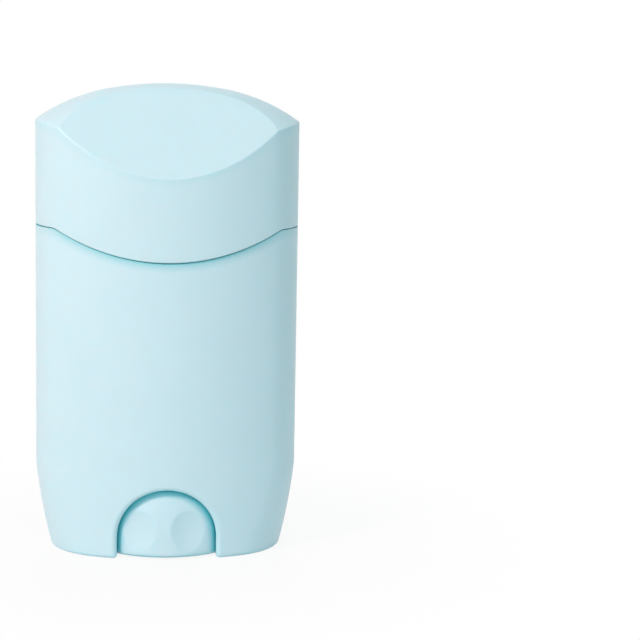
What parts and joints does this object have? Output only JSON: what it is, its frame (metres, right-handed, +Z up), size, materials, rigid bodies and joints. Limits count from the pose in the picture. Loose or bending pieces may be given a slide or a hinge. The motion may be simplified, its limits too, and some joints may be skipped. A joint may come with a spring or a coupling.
{
  "type": "deodorant stick container",
  "caption": "Empty oval twist-up stick container with a pull-off crowned cap, arched windows at the foot and a dimpled dial that raises an inner platform.",
  "frame": {"origin": "on the standing surface, under the middle of the foot", "axes": "+Z up, +X to the right along the wide side, broad faces towards -Y (front) and +Y (back)"},
  "size_m": [0.0624, 0.0384, 0.1109],
  "materials": {
    "barrel": "satin moulded polypropylene, pale aqua",
    "cap": "satin moulded polypropylene, pale aqua",
    "dial": "satin moulded polypropylene, pale aqua",
    "platform": "satin moulded polypropylene, pale aqua"
  },
  "bodies": {
    "barrel": {"barrel": "barrel"},
    "cap": {"cap": "cap"},
    "dial": {"dial": "dial"},
    "platform": {"platform": "platform"}
  },
  "joints": [
    {"name": "cap_pull", "type": "slide", "parent": "barrel", "child": "cap", "axis": [0, 0, 1], "range_m": [0, 0.045]},
    {"name": "dial_turn", "type": "hinge", "parent": "barrel", "child": "dial", "pos_m": [0, 0, 0.01], "axis": [0, 0, -1], "range_deg": [0, 3240]},
    {"name": "platform_lift", "type": "slide", "parent": "barrel", "child": "platform", "axis": [0, 0, 1], "range_m": [0, 0.0541]}
  ],
  "couplings": [
    {"joint": "platform_lift", "follows": "dial_turn", "m_per_rad": 0.00095493}
  ]
}
